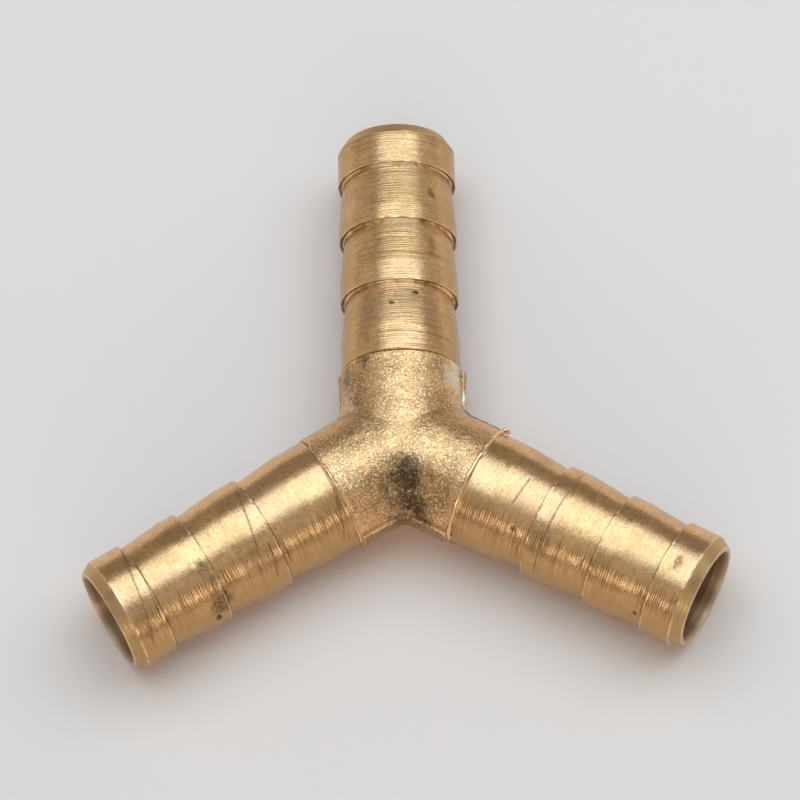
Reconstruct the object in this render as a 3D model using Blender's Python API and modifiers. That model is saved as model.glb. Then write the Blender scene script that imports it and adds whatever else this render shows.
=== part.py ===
"""Barbed Y connector for 10 mm hose: a forged hub that carries three turned, barbed tails.

The Y lies flat. The origin is where the three bores cross, +Y runs out along the back tail
and +Z is normal to the Y. The tails stand 120 degrees apart. Each one has a spigot that is
seated in a socket of the hub, with its shoulder against the hub's end face.
All lengths are in metres.
"""
import math

import bmesh
import bpy
from mathutils import Matrix, Vector

# Water way
BORE_RADIUS = 0.0040
MOUTH_FLARE = 0.0003
MOUTH_DEPTH = 0.0010

# Outside of a tail, from its tip to the hub. Walls are measured from the bore.
LIP_WIDTH = 0.0004
LIP_CHAMFER = 0.0010
CREST_WALL = 0.0013
NOSE_LENGTH = 0.0038
BARB_PITCHES = (0.0057, 0.0061)
COLLAR_LENGTH = 0.0071
BARB_STEP = 0.00045
STEP_RUN = 0.00015
BARB_RISE = 0.0042

# Spigot of a tail, and the clearance that its joint in the hub leaves for filler
SPIGOT_WALL = 0.0007
SPIGOT_LENGTH = 0.0028
SPIGOT_CHAMFER = 0.0003
SOCKET_CLEARANCE = 0.0001
SHOULDER_GAP = 0.0002

# Hub
HUB_WALL = 0.00065
HUB_REACH = 0.0076
HUB_RIM_BEVEL = 0.0003
CREASE_WIDTH = 0.0014
CREASE_STEPS = 4

# Flash that the forging dies leave around the hub at mid height, after trimming
FLASH_THICKNESS = 0.0013
FLASH_PROUD = 0.00033
FLASH_SETBACK = 0.0002
FLASH_CROTCH_RADIUS = 0.0015

# Directions of the arms, in degrees about +Z from +Y
ARM_TURNS = {"back": 0.0, "left": 120.0, "right": 240.0}
ARM_SPACING = math.radians(120.0)

# Fineness of the round shapes
ROUND_SEGMENTS = 48
CROTCH_POINTS = 8
SHARP_ANGLE = math.radians(30.0)
CREASE_ANGLE = math.radians(12.0)
MERGE_DISTANCE = 0.00001

MOUTH_RADIUS = BORE_RADIUS + MOUTH_FLARE
LIP_RADIUS = MOUTH_RADIUS + LIP_WIDTH
CREST_RADIUS = BORE_RADIUS + CREST_WALL
SPIGOT_RADIUS = BORE_RADIUS + SPIGOT_WALL
SOCKET_RADIUS = SPIGOT_RADIUS + SOCKET_CLEARANCE
HUB_RADIUS = SOCKET_RADIUS + HUB_WALL
ARM_LENGTH = HUB_REACH + COLLAR_LENGTH + sum(BARB_PITCHES) + NOSE_LENGTH
SOCKET_FLOOR = HUB_REACH - SPIGOT_LENGTH
CUTTER_OVERRUN = 0.002


def clear_scene():
    """Remove what a new file starts with."""
    for thing in list(bpy.data.objects):
        bpy.data.objects.remove(thing, do_unlink=True)


def new_collection(name):
    """Add a collection to the scene."""
    collection = bpy.data.collections.new(name)
    bpy.context.scene.collection.children.link(collection)
    return collection


def new_object(name, mesh, collection):
    """Add a mesh object to a collection."""
    piece = bpy.data.objects.new(name, mesh)
    collection.objects.link(piece)
    return piece


def brass(name, colour, roughness):
    """Plain brass with a colour and a roughness of its own."""
    material = bpy.data.materials.new(name)
    material.use_nodes = True
    shader = material.node_tree.nodes["Principled BSDF"]
    shader.inputs["Base Color"].default_value = (*colour, 1.0)
    shader.inputs["Metallic"].default_value = 1.0
    shader.inputs["Roughness"].default_value = roughness
    return material


def as_tool(shape):
    """Show a cutter or a joined shape as wire only."""
    shape.hide_render = True
    shape.display_type = "WIRE"


def arm_matrix(turn):
    """Turn a shape that is made along +Z so that it lies along one arm of the Y."""
    lay_down = Matrix.Rotation(math.radians(-90.0), 4, "X")
    return Matrix.Rotation(math.radians(turn), 4, "Z") @ lay_down


def keep_shape(piece):
    """Make what the modifiers give into the piece's own mesh, with its seams welded."""
    bpy.context.view_layer.update()
    shaped = piece.evaluated_get(bpy.context.evaluated_depsgraph_get())
    mesh = bpy.data.meshes.new_from_object(shaped)
    piece.modifiers.clear()
    piece.data = mesh
    work = bmesh.new()
    work.from_mesh(mesh)
    bmesh.ops.remove_doubles(work, verts=work.verts, dist=MERGE_DISTANCE)
    work.to_mesh(mesh)
    work.free()


def shade_round(piece):
    """Shade the round faces smooth and leave the turned edges sharp."""
    piece.data.shade_smooth()
    piece.data.set_sharp_from_angle(angle=SHARP_ANGLE)


def combine(piece, other, operation):
    """Add a Boolean modifier that joins or cuts a piece with another shape."""
    step = piece.modifiers.new(operation.lower(), "BOOLEAN")
    step.operation = operation
    step.solver = "EXACT"
    step.object = other


def turned(name, profile, collection):
    """Turn (radius, height) points about +Z. A profile that stays off the axis is closed."""
    count = len(profile)
    edges = [(index, index + 1) for index in range(count - 1)]
    if profile[0][0] > 0.0:
        edges.append((count - 1, 0))
    mesh = bpy.data.meshes.new(name)
    mesh.from_pydata([(radius, 0.0, height) for radius, height in profile], edges, [])
    piece = new_object(name, mesh, collection)
    screw = piece.modifiers.new("turned", "SCREW")
    screw.axis = "Z"
    screw.steps = ROUND_SEGMENTS
    screw.render_steps = ROUND_SEGMENTS
    screw.use_merge_vertices = True
    screw.merge_threshold = MERGE_DISTANCE
    return piece


def tail_profile():
    """Closed section of a tail: down the outside from tip to spigot, then up the bore."""
    tip = ARM_LENGTH
    step = tip - NOSE_LENGTH
    outside = [(LIP_RADIUS, tip), (CREST_RADIUS, tip - LIP_CHAMFER)]
    for pitch in (*BARB_PITCHES, COLLAR_LENGTH):
        root = step - STEP_RUN
        outside.append((CREST_RADIUS, step))
        outside.append((CREST_RADIUS - BARB_STEP, root))
        outside.append((CREST_RADIUS, root - BARB_RISE))
        step -= pitch
    shoulder = HUB_REACH + SHOULDER_GAP
    spigot_end = shoulder - SPIGOT_LENGTH
    joint = [
        (CREST_RADIUS, shoulder),
        (SPIGOT_RADIUS, shoulder),
        (SPIGOT_RADIUS, spigot_end + SPIGOT_CHAMFER),
        (SPIGOT_RADIUS - SPIGOT_CHAMFER, spigot_end),
    ]
    inside = [(BORE_RADIUS, spigot_end), (BORE_RADIUS, tip - MOUTH_DEPTH), (MOUTH_RADIUS, tip)]
    return outside + joint + inside


def make_tails(collection, finish):
    """Three alike tails, each parented to an empty that points along its arm."""
    first = None
    for side, turn in ARM_TURNS.items():
        arm = bpy.data.objects.new("arm_" + side, None)
        arm.matrix_world = arm_matrix(turn)
        collection.objects.link(arm)
        name = "tail_" + side
        if first is None:
            tail = turned(name, tail_profile(), collection)
            keep_shape(tail)
            shade_round(tail)
            tail.data.materials.append(finish)
            first = tail
        else:
            tail = new_object(name, first.data, collection)
        tail.parent = arm


def three_way(name, profile, collection):
    """Turn a round arm that is open at its inner end, mitre that end and weld three together.

    The profile runs from the axis at the outer end to its widest radius at height 0. The mitre
    follows the two upright planes that halve the angles between this arm and its neighbours.
    """
    arm = turned(name, profile, collection)
    keep_shape(arm)
    for vertex in arm.data.vertices:
        if abs(vertex.co.z) < MERGE_DISTANCE:
            vertex.co.z = abs(vertex.co.x) / math.tan(ARM_SPACING / 2.0)
    work = bmesh.new()
    for turn in ARM_TURNS.values():
        copy = arm.data.copy()
        copy.transform(arm_matrix(turn))
        work.from_mesh(copy)
        bpy.data.meshes.remove(copy)
    bmesh.ops.remove_doubles(work, verts=work.verts, dist=MERGE_DISTANCE)
    work.to_mesh(arm.data)
    work.free()
    return arm


def hub_blank(collection):
    """The solid hub: three round arms with bevelled rims."""
    profile = [
        (0.0, HUB_REACH),
        (HUB_RADIUS - HUB_RIM_BEVEL, HUB_REACH),
        (HUB_RADIUS, HUB_REACH - HUB_RIM_BEVEL),
        (HUB_RADIUS, 0.0),
    ]
    return three_way("y_hub", profile, collection)


def water_way(collection):
    """The three bores and their sockets as one shape to cut away."""
    top = HUB_REACH + CUTTER_OVERRUN
    profile = [
        (0.0, top),
        (SOCKET_RADIUS, top),
        (SOCKET_RADIUS, SOCKET_FLOOR),
        (BORE_RADIUS, SOCKET_FLOOR),
        (BORE_RADIUS, 0.0),
    ]
    return three_way("water_way", profile, collection)


def fillet_creases(piece, width, steps):
    """Round the hollow creases where the arms meet. A hollow edge has a negative angle."""
    work = bmesh.new()
    work.from_mesh(piece.data)
    creases = [edge for edge in work.edges if edge.calc_face_angle_signed() < -CREASE_ANGLE]
    bmesh.ops.bevel(
        work,
        geom=creases,
        offset=width,
        offset_type="OFFSET",
        segments=steps,
        profile=0.5,
        affect="EDGES",
        clamp_overlap=True,
    )
    bmesh.ops.remove_doubles(work, verts=work.verts, dist=MERGE_DISTANCE)
    work.to_mesh(piece.data)
    work.free()


def flash_outline():
    """Plan of the trimmed flash: straight along the arms, rounded in the three crotches."""
    half_width = HUB_RADIUS + FLASH_PROUD
    reach = HUB_REACH - FLASH_SETBACK
    from_centre = (half_width + FLASH_CROTCH_RADIUS) / math.sin(ARM_SPACING / 2.0)
    points = []
    for turn in ARM_TURNS.values():
        along = math.radians(90.0 + turn)
        arm = Vector((math.cos(along), math.sin(along)))
        across = Vector((-arm.y, arm.x))
        points.append(arm * reach - across * half_width)
        points.append(arm * reach + across * half_width)
        bisector = along + ARM_SPACING / 2.0
        middle = Vector((math.cos(bisector), math.sin(bisector))) * from_centre
        for index in range(CROTCH_POINTS + 1):
            swing = math.pi + ARM_SPACING / 4.0 - ARM_SPACING / 2.0 * index / CROTCH_POINTS
            angle = bisector + swing
            points.append(middle + Vector((math.cos(angle), math.sin(angle))) * FLASH_CROTCH_RADIUS)
    return points


def flash_plate(collection):
    """The flash as a flat plate through the hub."""
    outline = flash_outline()
    curve = bpy.data.curves.new("flash_outline", "CURVE")
    curve.dimensions = "2D"
    curve.fill_mode = "BOTH"
    curve.extrude = FLASH_THICKNESS / 2.0
    spline = curve.splines.new("POLY")
    spline.points.add(len(outline) - 1)
    for point, place in zip(spline.points, outline):
        point.co = (place.x, place.y, 0.0, 1.0)
    spline.use_cyclic_u = True
    drawn = bpy.data.objects.new("flash_outline", curve)
    collection.objects.link(drawn)
    bpy.context.view_layer.update()
    shaped = drawn.evaluated_get(bpy.context.evaluated_depsgraph_get())
    mesh = bpy.data.meshes.new_from_object(shaped)
    plate = new_object("flash_plate", mesh, collection)
    plate.matrix_world = drawn.matrix_world
    keep_shape(plate)
    bpy.data.objects.remove(drawn, do_unlink=True)
    return plate


def make_hub(collection, tools, finish):
    """The filleted blank with its flash added and its bores and sockets cut."""
    hub = hub_blank(collection)
    fillet_creases(hub, CREASE_WIDTH, CREASE_STEPS)
    plate = flash_plate(tools)
    bores = water_way(tools)
    combine(hub, plate, "UNION")
    combine(hub, bores, "DIFFERENCE")
    keep_shape(hub)
    as_tool(plate)
    as_tool(bores)
    shade_round(hub)
    hub.data.materials.append(finish)


def main():
    clear_scene()
    parts = new_collection("barbed_y_connector")
    tools = new_collection("shaping_tools")
    make_hub(parts, tools, brass("forged_brass", (0.47, 0.34, 0.17), 0.45))
    make_tails(parts, brass("turned_brass", (0.72, 0.52, 0.24), 0.25))
    tools.hide_render = True


main()
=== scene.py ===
# %% [markdown]
# # A barbed Y connector in brass
#
# A small hose fitting: a forged hub with three turned tails. Each tail has a short land at its
# tip, two barbs and a long collar, with a small square step behind each land. A 10 mm hose slides
# on easily and is gripped when it is pulled. A fitting like this is usually stamped hot between
# two dies, trimmed, then turned to shape. Here the section of a tail is drawn and spun, the hub is
# blended from three round arms, and both get the marks that the tools leave.
#
# All lengths are in metres. `MM` turns millimetres into metres.

import math

import bmesh
import bpy
import numpy as np
from mathutils import Matrix, Vector


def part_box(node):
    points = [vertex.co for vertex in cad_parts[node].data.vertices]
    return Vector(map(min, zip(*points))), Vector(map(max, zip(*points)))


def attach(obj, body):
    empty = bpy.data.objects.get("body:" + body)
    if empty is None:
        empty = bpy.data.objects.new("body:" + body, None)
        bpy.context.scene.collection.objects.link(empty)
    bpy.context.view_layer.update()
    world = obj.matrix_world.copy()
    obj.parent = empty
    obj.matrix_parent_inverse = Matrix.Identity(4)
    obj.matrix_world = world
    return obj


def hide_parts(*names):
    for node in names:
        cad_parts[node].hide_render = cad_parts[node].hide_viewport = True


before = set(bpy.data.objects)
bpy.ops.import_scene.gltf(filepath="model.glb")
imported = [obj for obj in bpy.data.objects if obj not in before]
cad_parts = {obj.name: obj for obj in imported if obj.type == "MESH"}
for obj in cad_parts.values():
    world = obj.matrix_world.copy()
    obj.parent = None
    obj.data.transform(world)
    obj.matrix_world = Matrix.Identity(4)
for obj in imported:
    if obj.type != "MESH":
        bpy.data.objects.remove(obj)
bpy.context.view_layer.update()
MM = 0.001

# %% [markdown]
# ## Reading the main sizes
#
# The CAD part already fixes how long and how wide everything is, so the main sizes come from its
# boxes. Only where the hub ends and how wide the joint line is are typed in, as are the smaller
# sizes of each section later on. The back tail points along +Y, so its box gives the reach of
# the tip, the end of the spigot and the crest radius. The hub is round about each arm, so its
# height is its diameter.

# %% Sizes that come from the CAD part
tail_low, tail_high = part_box("tail_back")
hub_low, hub_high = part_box("y_hub")
TIP = tail_high.y
SPIGOT_END = tail_low.y
CREST = tail_high.z
HUB_ROUND = hub_high.z
HUB_END = 7.6 * MM
JOINT_LINE = 0.07 * MM
SHOULDER = HUB_END + JOINT_LINE
print("tip", round(TIP / MM, 2), "spigot end", round(SPIGOT_END / MM, 2),
      "crest", round(CREST / MM, 2), "hub radius", round(HUB_ROUND / MM, 2))

# %% Where the three arms point
BEARINGS = {"back": 90.0, "left": 210.0, "right": 330.0}


def arm_frame(bearing):
    """The matrix that lays a piece made along +Z on an arm, with its local +Y upwards."""
    angle = math.radians(bearing)
    along = Vector((math.cos(angle), math.sin(angle), 0.0))
    up = Vector((0.0, 0.0, 1.0))
    side = up.cross(along)
    return Matrix((side, up, along)).transposed().to_4x4()


for side, bearing in BEARINGS.items():
    print(side, [round(part, 3) for part in arm_frame(bearing).col[2][:3]])

# %% [markdown]
# ## Camera
#
# The fitting is seen from high in front, a little from its right, with a long lens. A long lens
# from half a metre away keeps the three tails the same size, as in a catalogue picture. The
# slight tilt of the camera is why the Y looks turned in the picture.

# %% Camera
VIEW_ELEVATION = math.radians(64.57)
VIEW_TURN = math.radians(5.11)
VIEW_TILT = math.radians(6.99)
VIEW_DISTANCE = 534.8 * MM
AIM_UP = 4.64 * MM
AIM_RIGHT = -0.27 * MM

forward = Vector((0.0, math.cos(VIEW_ELEVATION), -math.sin(VIEW_ELEVATION)))
upward = Vector((0.0, math.sin(VIEW_ELEVATION), math.cos(VIEW_ELEVATION)))
rightward = Vector((1.0, 0.0, 0.0))
tilted_right = rightward * math.cos(VIEW_TILT) - upward * math.sin(VIEW_TILT)
tilted_up = rightward * math.sin(VIEW_TILT) + upward * math.cos(VIEW_TILT)
around = Matrix.Rotation(VIEW_TURN, 3, "Z")
forward, tilted_right, tilted_up = around @ forward, around @ tilted_right, around @ tilted_up

camera_place = forward * -VIEW_DISTANCE
aim = tilted_up * AIM_UP + tilted_right * AIM_RIGHT
look = (aim - camera_place).normalized()
camera_right = look.cross(tilted_up).normalized()
camera_up = camera_right.cross(look)

camera_data = bpy.data.cameras.new("camera")
camera_data.lens = 271.0
camera_data.sensor_width = 36.0
camera_data.clip_start = 0.01
camera_data.clip_end = 10.0
camera = bpy.data.objects.new("camera", camera_data)
camera.matrix_world = Matrix.Translation(camera_place) @ Matrix(
    (camera_right, camera_up, -look)).transposed().to_4x4()
bpy.context.scene.collection.objects.link(camera)
bpy.context.scene.camera = camera
print("camera at, mm:", [round(part / MM, 1) for part in camera_place])

# %% [markdown]
# ## Floor and room
#
# The fitting lies on a plain pale sheet in a dim room. Brass is almost a mirror, so what it
# reflects matters more than what falls on it: the even grey of the room is what the dark bands
# along the tails show. A world colour and one flat square are enough for that.

# %% Room and floor
ROOM_LEVEL = 0.26
world = bpy.data.worlds.new("room")
world.use_nodes = True
world.node_tree.nodes["Background"].inputs["Color"].default_value = (1.0, 1.0, 1.0, 1.0)
world.node_tree.nodes["Background"].inputs["Strength"].default_value = ROOM_LEVEL
bpy.context.scene.world = world
bpy.context.scene.view_settings.view_transform = "Standard"

FLOOR_HALF = 900.0 * MM
FLOOR_GAP = 0.02 * MM
PALE_PAPER = (0.92, 0.775, 0.67, 1.0)
SQUARE = ((-1, -1), (1, -1), (1, 1), (-1, 1))
floor_height = min(tail_low.z, hub_low.z) - FLOOR_GAP
floor_mesh = bpy.data.meshes.new("floor")
floor_mesh.from_pydata([(x * FLOOR_HALF, y * FLOOR_HALF, floor_height) for x, y in SQUARE],
                       [], [(0, 1, 2, 3)])
floor = bpy.data.objects.new("floor", floor_mesh)
bpy.context.scene.collection.objects.link(floor)
paper = bpy.data.materials.new("pale_paper")
paper.use_nodes = True
paper_shader = paper.node_tree.nodes["Principled BSDF"]
paper_shader.inputs["Base Color"].default_value = PALE_PAPER
paper_shader.inputs["Roughness"].default_value = 0.9
floor_mesh.materials.append(paper)
print("floor at, mm:", round(floor_height / MM, 2))

# %% [markdown]
# ## Panels of light
#
# Six soft panels stand in the room, and the brass shows each as a band. A wide cool panel
# overhead gives the broad highlight, and a narrow strip low in front gives the thin bright line
# along the front flanks. A tall wall and a low wall in front, and one wall on each side, lift
# the flanks that would otherwise go dark. Area lamps have hard edges, which polished metal shows
# as cuts, so each panel is a glowing sheet whose material fades to the level of the room. The
# camera doesn't see the panels, only their reflections.

# %% Glow of a panel
def edge_fade(tree, distance, soft):
    """1 in the middle of a panel and 0 at its edge, along one side."""
    size = tree.nodes.new("ShaderNodeMath")
    size.operation = "ABSOLUTE"
    tree.links.new(distance, size.inputs[0])
    fade = tree.nodes.new("ShaderNodeMapRange")
    fade.interpolation_type = "SMOOTHSTEP"
    fade.inputs["From Min"].default_value = 1.0
    fade.inputs["From Max"].default_value = 1.0 - soft
    tree.links.new(size.outputs["Value"], fade.inputs["Value"])
    return fade.outputs["Result"]


def panel_glow(name, brightness, tint, soft):
    """An emission that fades towards the edges of the panel to the level of the room."""
    glow = bpy.data.materials.new(name)
    glow.use_nodes = True
    tree = glow.node_tree
    tree.nodes.clear()
    place = tree.nodes.new("ShaderNodeTexCoord")
    split = tree.nodes.new("ShaderNodeSeparateXYZ")
    tree.links.new(place.outputs["Object"], split.inputs["Vector"])
    both = tree.nodes.new("ShaderNodeMath")
    both.operation = "MULTIPLY"
    for socket, axis in zip(both.inputs, "XY"):
        tree.links.new(edge_fade(tree, split.outputs[axis], soft), socket)
    level = tree.nodes.new("ShaderNodeMapRange")
    level.inputs["To Min"].default_value = min(ROOM_LEVEL, brightness)
    level.inputs["To Max"].default_value = brightness
    tree.links.new(both.outputs["Value"], level.inputs["Value"])
    emission = tree.nodes.new("ShaderNodeEmission")
    emission.inputs["Color"].default_value = (*tint, 1.0)
    tree.links.new(level.outputs["Result"], emission.inputs["Strength"])
    output = tree.nodes.new("ShaderNodeOutputMaterial")
    tree.links.new(emission.outputs["Emission"], output.inputs["Surface"])
    return glow


print("panels fade to a room level of", ROOM_LEVEL)

# %% Hanging the panels
WHITE = (1.0, 1.0, 1.0)
COOL = (0.82, 1.03, 1.24)
MIDDLE = (0.0, 0.0, 0.0)


def light_panel(name, place, aim_at, width, height, brightness, tint=WHITE, soft=0.3):
    """A glowing sheet. Brightness is what a mirror shows of it, white paper being 1."""
    mesh = bpy.data.meshes.new(name)
    mesh.from_pydata([(x, y, 0) for x, y in SQUARE], [], [(0, 3, 2, 1)])
    mesh.materials.append(panel_glow(name, brightness, tint, soft))
    panel = bpy.data.objects.new(name, mesh)
    toward = Vector(aim_at) - Vector(place)
    panel.location = place
    panel.rotation_euler = toward.to_track_quat("-Z", "Y").to_euler()
    panel.scale = (width / 2.0, height / 2.0, 1.0)
    panel.visible_camera = False
    bpy.context.scene.collection.objects.link(panel)
    return panel


overhead = light_panel("overhead_panel", (0.110, 0.170, 0.5), (0.110, 0.170, 0.0), 0.98, 0.60, 1.95,
                       COOL, 0.24)
overhead.rotation_euler = (0.0, 0.0, math.radians(10.8))
panels = (
    overhead,
    light_panel("front_strip", (0.0, -0.6, 0.215), MIDDLE, 1.2, 0.12, 2.7, soft=0.5),
    light_panel("front_wall", (0.0, -0.9, 0.95), MIDDLE, 2.4, 1.1, 0.50, soft=0.1),
    light_panel("low_wall", (0.0, -0.95, 0.2), MIDDLE, 2.4, 0.42, 0.34, soft=0.1),
    light_panel("right_wall", (0.82, 0.36, 0.40), MIDDLE, 0.9, 0.85, 0.55),
    light_panel("left_wall", (-0.82, 0.36, 0.40), MIDDLE, 0.9, 0.85, 0.54),
)
print("panels:", ", ".join(panel.name for panel in panels))

# %% [markdown]
# ## Noise that repeats the same way each time
#
# Tool marks and forging grain need numbers that look random but come out the same on every run.
# A small block of random numbers is made once from a fixed seed, and `grain` reads it smoothly at
# any point. Stretching the point before reading gives rings, streaks or lumps.

# %% A smooth random field
GRAIN_CELLS = 48
grain_block = np.random.default_rng(7).random((GRAIN_CELLS,) * 3) * 2.0 - 1.0


def grain(points, cell, shift=0.0):
    """Smooth noise between -1 and 1 at each point. Cell is the size of a lump along each axis."""
    place = points / np.asarray(cell) + shift
    base = np.floor(place).astype(int)
    part = place - base
    part = part * part * (3.0 - 2.0 * part)
    total = np.zeros(len(points))
    for step in np.ndindex(2, 2, 2):
        corner = (base + step) % GRAIN_CELLS
        share = np.prod(np.where(np.array(step) == 1, part, 1.0 - part), axis=1)
        total += share * grain_block[corner[:, 0], corner[:, 1], corner[:, 2]]
    return total


sample = grain(np.random.default_rng(1).random((1000, 3)), 0.05)
print("grain spread:", round(float(sample.std()), 3))

# %% [markdown]
# ## Small helpers
#
# Three helpers are used all through: a soft ramp between two values, the distance round a circle,
# and a function that turns arrays of points and faces into a mesh object. The last one also
# stores named marks on the points. The brass finishes read those marks later, so a stain or a
# rubbed edge sits exactly where the shape says.

# %% Small helpers for meshes
def smooth_step(value, start, end):
    """0 before start, 1 after end, with a soft ramp between."""
    share = np.clip((value - start) / (end - start), 0.0, 1.0)
    return share * share * (3.0 - 2.0 * share)


def angle_between(angle, centre):
    """How far round an angle is from a centre, in radians, from minus pi to pi."""
    return (angle - centre + math.pi) % (2.0 * math.pi) - math.pi


def mesh_object(name, points, faces, marks):
    """A smooth shaded mesh object. Marks are named values, one for each point."""
    mesh = bpy.data.meshes.new(name)
    mesh.from_pydata(points.tolist(), [], faces.tolist())
    mesh.shade_smooth()
    for mark, values in marks.items():
        layer = mesh.attributes.new(mark, "FLOAT", "POINT")
        layer.data.foreach_set("value", values.astype(np.float32))
    mesh.update()
    piece = bpy.data.objects.new(name, mesh)
    bpy.context.scene.collection.objects.link(piece)
    print(name, len(mesh.vertices), "points,", len(mesh.polygons), "faces")
    return piece


# %% [markdown]
# ## The section of a tail
#
# A tail is a lathe job, so all of its shape is in one section. From the tip: a lip, a chamfer
# that helps the hose over, a level land, then a small square step. Behind the step the barb
# starts thinner and rises gently to the next land. The step is what grips the hose. The last
# rise runs out into the long collar that ends at the hub. Inside is a straight bore with a small
# countersink, and below the shoulder is the spigot that sits in the hub.

# %% Section of a tail
BORE = 4.0 * MM
MOUTH = 4.3 * MM
LIP = 4.7 * MM
SPIGOT = 4.7 * MM
CHAMFER = 1.0 * MM
STEP_PLACES = (26.47 * MM, 20.81 * MM, 14.66 * MM)
STEP_DEPTHS = (0.40 * MM, 0.43 * MM, 0.45 * MM)
UNDERCUT = 0.05 * MM
ROOT_FILLET = 0.12 * MM
EDGE_BURR = 0.03 * MM
EDGE_BURR_LENGTH = 0.12 * MM
SPIGOT_CHAMFER = 0.3 * MM
BARB_RISE = 4.2 * MM
TAPER_EASE = 1.08


def tail_corners():
    """The closed section as (height, radius): down the outside, then up the bore."""
    corners = [(TIP, LIP), (TIP - CHAMFER, CREST)]
    for place, depth in zip(STEP_PLACES, STEP_DEPTHS):
        corners.append((place + EDGE_BURR_LENGTH, CREST))
        corners.append((place, CREST + EDGE_BURR))
        root = place + UNDERCUT
        for turn in (0.0, 0.25, 0.5, 0.75, 1.0):
            rise = ROOT_FILLET * (1.0 - turn) ** 2
            back = ROOT_FILLET * turn ** 2 + UNDERCUT * (1.0 - turn) * ROOT_FILLET / depth
            corners.append((root - back, CREST - depth + rise + 0.04 * depth * turn))
        for share in (0.85, 0.7, 0.5, 0.3, 0.15, 0.0):
            corners.append((root - BARB_RISE * (1.0 - share), CREST - depth * share ** TAPER_EASE))
    corners += [(SHOULDER, CREST), (SHOULDER, SPIGOT), (SPIGOT_END + SPIGOT_CHAMFER, SPIGOT),
                (SPIGOT_END, SPIGOT - SPIGOT_CHAMFER), (SPIGOT_END, BORE)]
    corners += [(TIP - CHAMFER, BORE), (TIP, MOUTH)]
    return corners


print("section corners:", len(tail_corners()))

# %% [markdown]
# ## Softening and dividing the section
#
# No real edge is sharp, and a sharp edge catches no light. So each corner of the section is
# swapped for a tiny curve. The straights between are cut into short pieces, because tool marks
# need points to move. The bore is hardly seen and gets a quarter as many.

# %% Rounding and dividing the section
def rounded_outline(corners, rounding, spacing):
    """Swap each corner of a closed outline for a short curve and divide the straights evenly."""
    corners = np.array(corners)
    points = []
    for index, corner in enumerate(corners):
        before, after = corners[index - 1], corners[(index + 1) % len(corners)]
        to_before, to_after = before - corner, after - corner
        back_length, next_length = np.linalg.norm(to_before), np.linalg.norm(to_after)
        cut = min(rounding, 0.4 * back_length, 0.4 * next_length)
        start = corner + to_before / back_length * cut
        end = corner + to_after / next_length * cut
        for share in np.linspace(0.0, 1.0, 4):
            near = start * (1.0 - share) + corner * share
            far = corner * (1.0 - share) + end * share
            points.append(near * (1.0 - share) + far * share)
        following = corners[(index + 2) % len(corners)]
        next_cut = min(rounding, 0.4 * next_length, 0.4 * np.linalg.norm(following - after))
        stop = after - to_after / next_length * next_cut
        inside = max(corner[1], after[1]) < LIP
        pieces = int(np.linalg.norm(stop - end) // (spacing * (4.0 if inside else 1.0)))
        for share in np.arange(1, pieces) / max(pieces, 1):
            points.append(end * (1.0 - share) + stop * share)
    return np.array(points)


ROUNDING = 0.03 * MM
RING_SPACING = 0.085 * MM
tail_section = rounded_outline(tail_corners(), ROUNDING, RING_SPACING)
print("rings in a tail:", len(tail_section))

# %% [markdown]
# ## Marks of the lathe
#
# A tool that moves along while the work spins leaves fine rings, about a quarter of a millimetre
# apart here. They are only a few thousandths of a millimetre deep, yet they decide how the light
# spreads along the tail. On top come the accidents of real parts: a crest nicked against its
# neighbours in the box, a stray tool line that runs slowly round, pits and stains. Each tail gets
# its own list, given as a distance from the tip and an angle round from the top.

# %% Marks that belong to each tail
# (distance from tip, degrees from top towards local +X, radius of the mark, depth), in mm
TAIL_DENTS = {
    "back": [(16.8, -20.0, 0.16, 0.04), (17.9, 5.0, 0.14, 0.04), (17.5, -12.0, 0.1, 0.03)],
    "left": [(8.3, 83.0, 0.25, 0.12), (8.8, 66.0, 0.35, 0.05), (9.1, 58.0, 0.2, 0.05),
             (8.8, 24.0, 0.16, 0.04), (8.3, 17.0, 0.14, 0.03), (9.3, 30.0, 0.2, 0.05),
             (12.8, 52.0, 0.4, 0.02)],
    "right": [(2.4, -3.0, 0.14, 0.04), (2.7, -9.0, 0.12, 0.04), (2.1, 2.0, 0.12, 0.03),
              (2.9, -5.0, 0.1, 0.03), (17.2, -43.0, 0.2, 0.06)],
}

# (start distance, start degrees, end distance, end degrees, width, depth), in mm
TAIL_LINES = {
    "back": [(12.9, -50.0, 12.7, 45.0, 0.06, 0.012), (20.9, -60.0, 20.8, 20.0, 0.06, 0.008)],
    "left": [(4.05, -59.0, 1.95, 68.0, 0.09, 0.022), (4.05, -18.0, 3.5, 52.0, 0.10, 0.022),
             (15.1, -30.0, 13.7, 42.0, 0.10, 0.018), (15.0, 34.0, 14.5, 72.0, 0.08, 0.02),
             (22.65, -30.0, 22.2, 42.0, 0.10, 0.03), (22.35, 20.0, 21.3, 72.0, 0.08, 0.025)],
    "right": [(18.05, -22.0, 17.8, 12.0, 0.07, 0.022), (14.3, -80.0, 14.2, 50.0, 0.07, 0.012)],
}

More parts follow.
